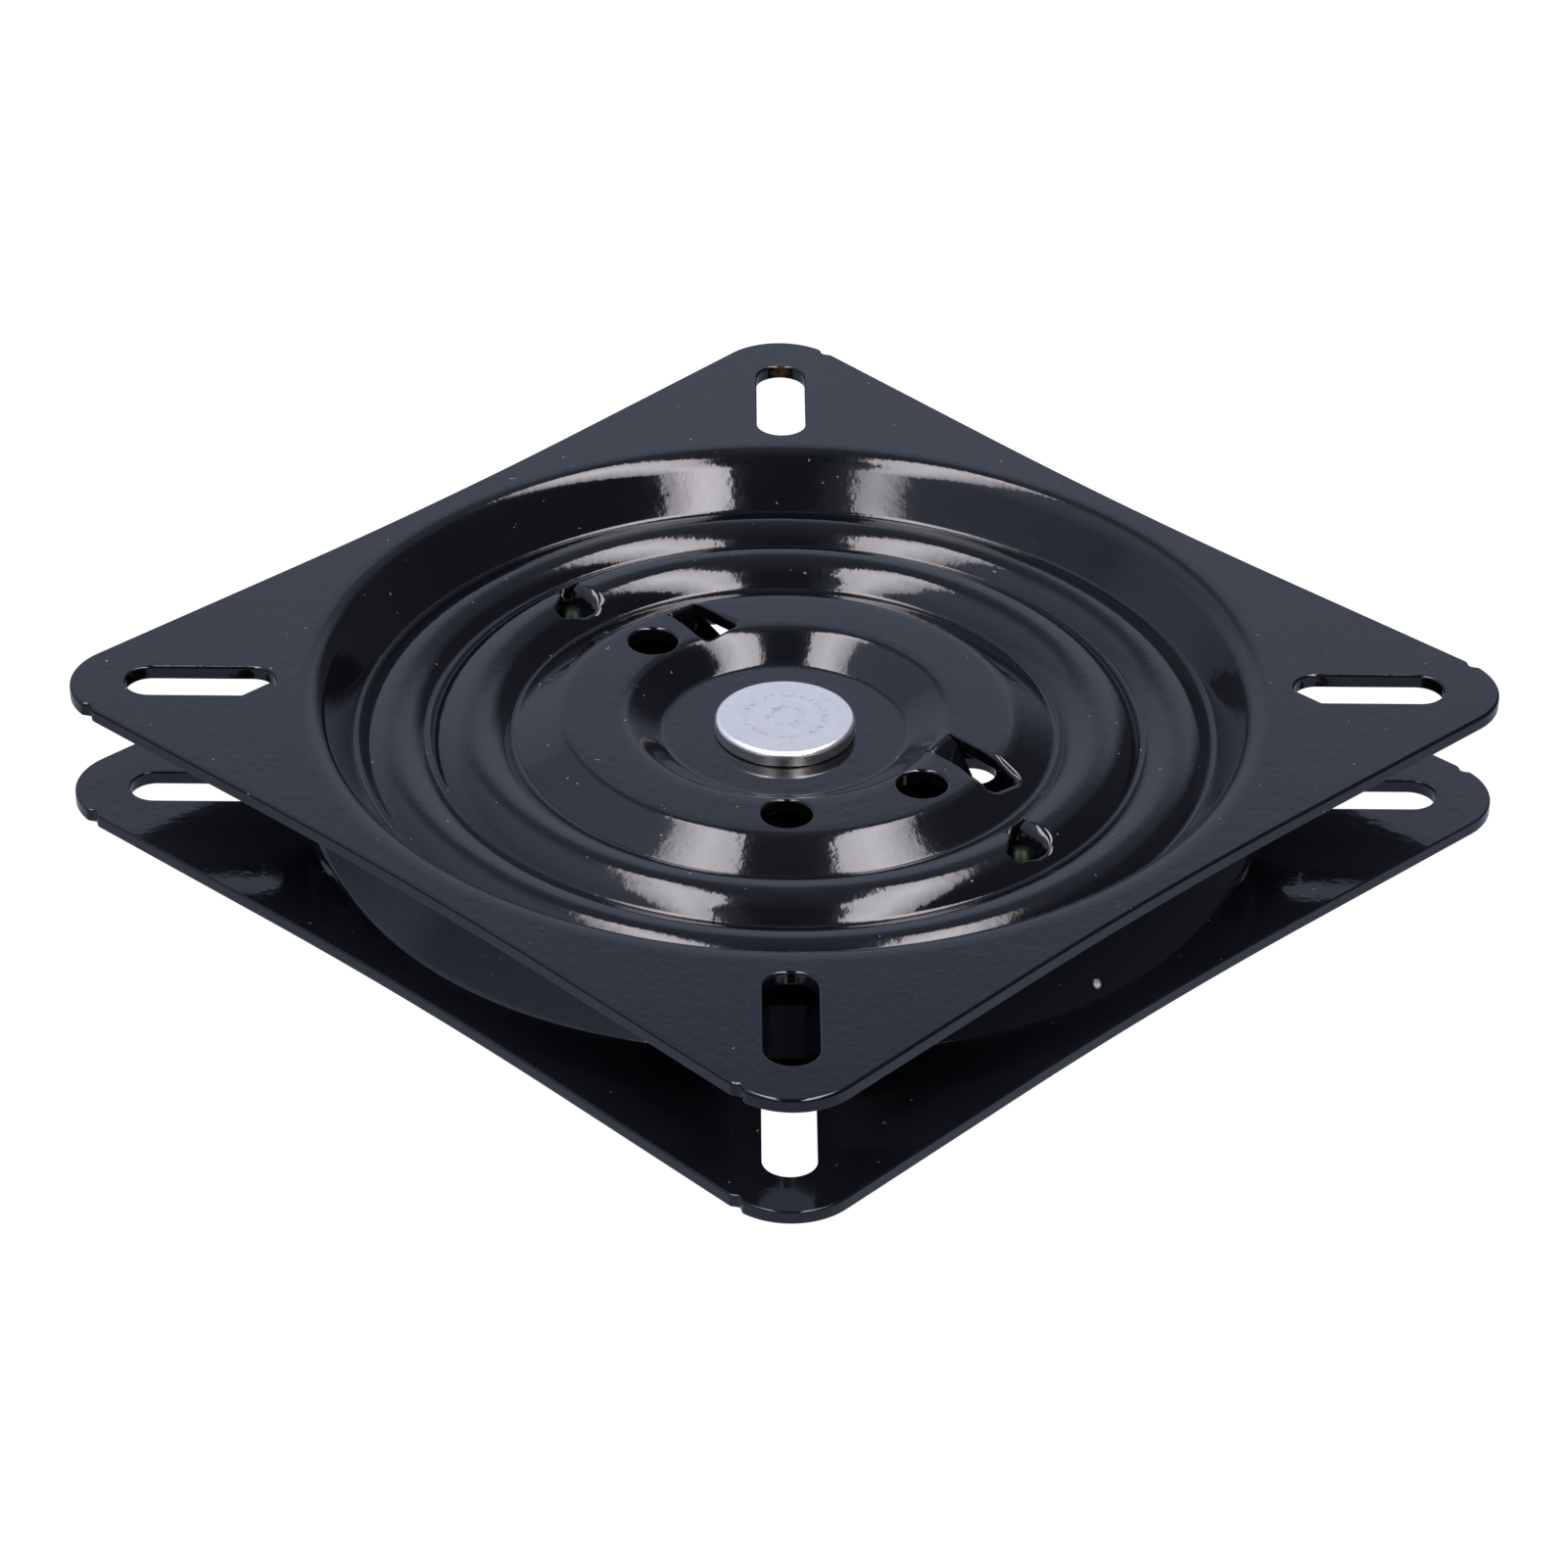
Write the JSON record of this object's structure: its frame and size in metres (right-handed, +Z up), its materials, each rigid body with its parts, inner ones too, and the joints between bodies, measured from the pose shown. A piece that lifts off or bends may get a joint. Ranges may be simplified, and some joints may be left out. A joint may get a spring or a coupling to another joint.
{
  "type": "stool swivel plate",
  "caption": "Square swivel plate for a stool seat: dished, ringed pressed steel plates with slotted corners, turning on a centre rivet over loose balls.",
  "frame": {"origin": "on the swivel axis, in the plane of the bottom plate's lower flange face", "axes": "+Z up along the swivel axis from the bottom plate to the seat; +X and +Y along the plates' diagonals, through the bolt slots, with -Y towards the viewer of the picture"},
  "size_m": [0.2418, 0.2418, 0.0237],
  "materials": {
    "black_paint": "gloss black paint on pressed steel sheet",
    "zinc_plate": "bright zinc plate, satin, faintly blue",
    "ball_steel": "polished bearing steel"
  },
  "bodies": {
    "base": {"bottom_plate": "black_paint", "centre_rivet": "zinc_plate"},
    "seat": {"top_plate": "black_paint", "ball_01": "ball_steel", "ball_02": "ball_steel", "ball_03": "ball_steel", "ball_04": "ball_steel", "ball_05": "ball_steel", "ball_06": "ball_steel", "ball_07": "ball_steel", "ball_08": "ball_steel", "ball_09": "ball_steel", "ball_10": "ball_steel", "ball_11": "ball_steel", "ball_12": "ball_steel", "ball_13": "ball_steel", "ball_14": "ball_steel", "ball_15": "ball_steel", "ball_16": "ball_steel", "ball_17": "ball_steel", "ball_18": "ball_steel", "ball_19": "ball_steel", "ball_20": "ball_steel", "ball_21": "ball_steel", "ball_22": "ball_steel", "ball_23": "ball_steel", "ball_24": "ball_steel"}
  },
  "joints": [
    {"name": "swivel", "type": "hinge", "parent": "base", "child": "seat", "pos_m": [0, 0, 0.01185], "axis": [0, 0, 1], "continuous": true}
  ]
}
